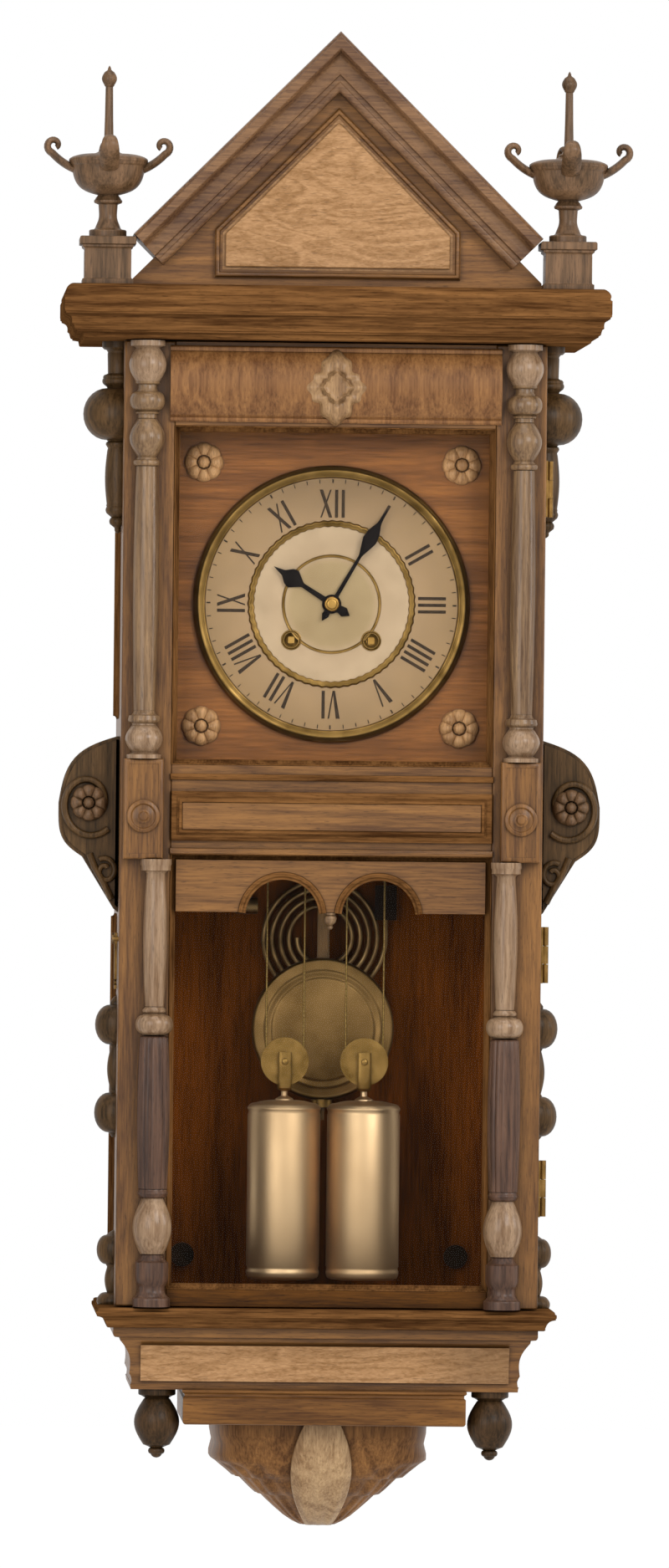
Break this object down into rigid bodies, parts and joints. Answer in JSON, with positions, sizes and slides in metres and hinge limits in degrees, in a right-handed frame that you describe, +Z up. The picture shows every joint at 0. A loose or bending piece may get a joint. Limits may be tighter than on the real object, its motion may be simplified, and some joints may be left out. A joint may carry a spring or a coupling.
{
  "type": "wall regulator clock",
  "caption": "Weight-driven wall regulator clock: gabled walnut case with glazed door, round dial, brass weights on pulleys, pendulum and coil gong.",
  "frame": {"origin": "middle of the hanger hole, in the plane of the wall", "axes": "+Z up, the front faces -Y, +X to the right as the clock is seen"},
  "size_m": [0.444, 0.225, 1.124],
  "materials": {
    "stained_pine": "stained, dull",
    "dark_walnut": "stained and waxed",
    "walnut": "shellac polished",
    "light_walnut": "burr veneer, shellac polished",
    "turned_walnut": "turned and stained",
    "polished_walnut": "turned and french polished",
    "carved_walnut": "carved and waxed",
    "rod_wood": "varnished",
    "window_glass": "clear",
    "brass": "lacquered",
    "bob_brass": "spun and aged",
    "weight_brass": "polished sheet over lead",
    "steel": "bright",
    "gong_steel": "blued, dull",
    "blued_steel": "blued steel",
    "black_iron": "japanned",
    "enamel": "glossy cream",
    "black_paint": "fired enamel paint",
    "cable": "brass wire cable"
  },
  "bodies": {
    "case": {"backboard": "stained_pine", "side_panels": "dark_walnut", "side_glass": "window_glass", "case_top": "stained_pine", "base_shelf": "dark_walnut", "base_panel": "light_walnut", "cornice": "dark_walnut", "gable_board": "dark_walnut", "gable_panel": "light_walnut", "raking_cornices": "walnut", "finials": "turned_walnut", "finial_leaves": "turned_walnut", "side_turnings": "turned_walnut", "ear_scrolls": "walnut", "rosettes": "carved_walnut", "corbel": "walnut", "turned_drops": "turned_walnut", "hanger_plate": "steel", "wall_screws": "steel", "dial_mask": "dark_walnut", "seat_board": "stained_pine", "iron_brackets": "black_iron", "gong_base": "black_iron", "gong_coil": "gong_steel", "dial_plate": "brass", "dial_enamels": "enamel", "dial_numerals": "black_paint", "movement_frame": "brass", "case_brasses": "brass", "time_cable": "cable", "strike_cable": "cable"},
    "door": {"door_frame": "walnut", "door_arch": "walnut", "door_glass": "window_glass", "door_columns": "polished_walnut", "column_blocks": "walnut", "door_ornaments": "carved_walnut", "door_brasses": "brass"},
    "latch": {"latch_hook": "brass"},
    "time_drum": {"time_drum": "brass"},
    "strike_drum": {"strike_drum": "brass"},
    "time_great_wheel": {"time_great_wheel": "brass"},
    "centre_arbor": {"centre_wheel": "brass", "minute_hand": "blued_steel"},
    "third_wheel": {"third_wheel": "brass"},
    "escape_wheel": {"escape_wheel": "brass"},
    "anchor": {"anchor": "steel"},
    "minute_wheel": {"minute_wheel": "brass"},
    "hour_pipe": {"hour_wheel": "brass", "hour_hand": "blued_steel"},
    "strike_great_wheel": {"strike_great_wheel": "brass"},
    "pin_wheel": {"pin_wheel": "brass"},
    "hammer": {"hammer": "steel"},
    "pendulum": {"pendulum_rod": "rod_wood"},
    "bob": {"pendulum_bob": "bob_brass"},
    "rating_nut": {"rating_nut": "brass"},
    "time_weight": {"time_weight": "weight_brass"},
    "strike_weight": {"strike_weight": "weight_brass"},
    "time_pulley": {"time_pulley": "brass"},
    "strike_pulley": {"strike_pulley": "brass"}
  },
  "joints": [
    {"name": "door_swing", "type": "hinge", "parent": "case", "child": "door", "pos_m": [0.162, -0.1505, -0.363], "axis": [0, 0, 1], "range_deg": [0, 100]},
    {"name": "latch_turn", "type": "hinge", "parent": "case", "child": "latch", "pos_m": [-0.158, -0.126, -0.418], "axis": [-1, 0, 0], "range_deg": [0, 90]},
    {"name": "minute_hand_turn", "type": "hinge", "parent": "case", "child": "centre_arbor", "pos_m": [0, -0.13, -0.1655], "axis": [0, 1, 0], "continuous": true},
    {"name": "hour_hand_turn", "type": "hinge", "parent": "case", "child": "hour_pipe", "pos_m": [0, -0.13, -0.1655], "axis": [0, 1, 0], "continuous": true},
    {"name": "minute_wheel_turn", "type": "hinge", "parent": "case", "child": "minute_wheel", "pos_m": [0.0072, -0.115, -0.17797], "axis": [0, 1, 0], "continuous": true},
    {"name": "great_wheel_turn", "type": "hinge", "parent": "case", "child": "time_great_wheel", "pos_m": [0.03, -0.102, -0.19271], "axis": [0, 1, 0], "continuous": true},
    {"name": "third_wheel_turn", "type": "hinge", "parent": "case", "child": "third_wheel", "pos_m": [-0.01735, -0.08, -0.14482], "axis": [0, 1, 0], "continuous": true},
    {"name": "escape_wheel_turn", "type": "hinge", "parent": "case", "child": "escape_wheel", "pos_m": [0, -0.08, -0.13264], "axis": [0, 1, 0], "continuous": true},
    {"name": "pendulum_swing", "type": "hinge", "parent": "case", "child": "pendulum", "pos_m": [0, -0.04, -0.11424], "axis": [0, 1, 0], "range_deg": [-2.5, 2.5]},
    {"name": "anchor_rock", "type": "hinge", "parent": "case", "child": "anchor", "pos_m": [0, -0.06, -0.11424], "axis": [0, 1, 0], "range_deg": [-2.6, 2.6]},
    {"name": "bob_height", "type": "slide", "parent": "pendulum", "child": "bob", "axis": [0, 0, 1], "range_m": [-0.0035, 0.0035]},
    {"name": "rating_nut_turn", "type": "hinge", "parent": "bob", "child": "rating_nut", "pos_m": [0, -0.04, -0.54224], "axis": [0, 0, 1], "range_deg": [-1600, 1600]},
    {"name": "time_weight_travel", "type": "slide", "parent": "case", "child": "time_weight", "axis": [0, 0, 1], "range_m": [0, 0.18], "deforming": ["time_cable"]},
    {"name": "time_drum_turn", "type": "hinge", "parent": "case", "child": "time_drum", "pos_m": [0.03, -0.086, -0.19271], "axis": [0, -1, 0], "range_deg": [-2, 1462]},
    {"name": "time_pulley_turn", "type": "hinge", "parent": "time_weight", "child": "time_pulley", "pos_m": [0.03, -0.086, -0.51], "axis": [0, -1, 0], "range_deg": [-2, 732]},
    {"name": "strike_weight_travel", "type": "slide", "parent": "case", "child": "strike_weight", "axis": [0, 0, 1], "range_m": [0, 0.18], "deforming": ["strike_cable"]},
    {"name": "strike_drum_turn", "type": "hinge", "parent": "case", "child": "strike_drum", "pos_m": [-0.03, -0.086, -0.19271], "axis": [0, 1, 0], "range_deg": [-2, 1462]},
    {"name": "strike_pulley_turn", "type": "hinge", "parent": "strike_weight", "child": "strike_pulley", "pos_m": [-0.03, -0.086, -0.51], "axis": [0, 1, 0], "range_deg": [-2, 732]},
    {"name": "strike_wheel_turn", "type": "hinge", "parent": "case", "child": "strike_great_wheel", "pos_m": [-0.03, -0.069, -0.19271], "axis": [0, 1, 0], "continuous": true},
    {"name": "pin_wheel_turn", "type": "hinge", "parent": "case", "child": "pin_wheel", "pos_m": [-0.038, -0.08, -0.15301], "axis": [0, 1, 0], "continuous": true},
    {"name": "hammer_lift", "type": "hinge", "parent": "case", "child": "hammer", "pos_m": [-0.06, -0.08, -0.1515], "axis": [0, 1, 0], "range_deg": [0, 6]}
  ],
  "couplings": [
    {"joint": "hour_hand_turn", "follows": "minute_hand_turn", "ratio": 0.083333},
    {"joint": "minute_wheel_turn", "follows": "minute_hand_turn", "ratio": -0.33333},
    {"joint": "great_wheel_turn", "follows": "minute_hand_turn", "ratio": -0.083333},
    {"joint": "third_wheel_turn", "follows": "minute_hand_turn", "ratio": -12},
    {"joint": "escape_wheel_turn", "follows": "minute_hand_turn", "ratio": 97.5},
    {"joint": "anchor_rock", "follows": "pendulum_swing", "ratio": 1},
    {"joint": "rating_nut_turn", "follows": "bob_height", "rad_per_m": 7854},
    {"joint": "time_drum_turn", "follows": "time_weight_travel", "rad_per_m": 141.34},
    {"joint": "time_pulley_turn", "follows": "time_weight_travel", "rad_per_m": 70.671},
    {"joint": "strike_drum_turn", "follows": "strike_weight_travel", "rad_per_m": 141.34},
    {"joint": "strike_pulley_turn", "follows": "strike_weight_travel", "rad_per_m": 70.671},
    {"joint": "pin_wheel_turn", "follows": "strike_wheel_turn", "ratio": -12}
  ]
}
